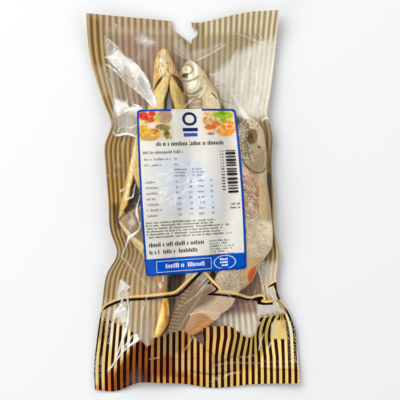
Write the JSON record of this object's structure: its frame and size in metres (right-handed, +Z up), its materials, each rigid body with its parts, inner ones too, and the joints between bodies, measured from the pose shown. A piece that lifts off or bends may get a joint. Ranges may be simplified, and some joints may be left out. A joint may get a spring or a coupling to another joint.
{
  "type": "vacuum pack of dried fish",
  "caption": "Clear vacuum pouch with a striped back film, drawn down over whole dried fish lying heads up, with a stuck-on label and a torn hanging slot.",
  "frame": {"origin": "middle of the pack's bounding box, on the surface it lies on", "axes": "+Z up out of the front of the pack, +Y towards the end with the hanging slot, +X to the right as the front is seen"},
  "size_m": [0.1658, 0.2966, 0.023],
  "materials": {
    "film": "clear gloss film with gold and dark brown stripes",
    "label": "satin white label with blue border and print",
    "dried_fish": "dried golden and silver-grey fish skin"
  },
  "bodies": {
    "root": {"pouch": "film", "label": "label"}
  },
  "joints": []
}
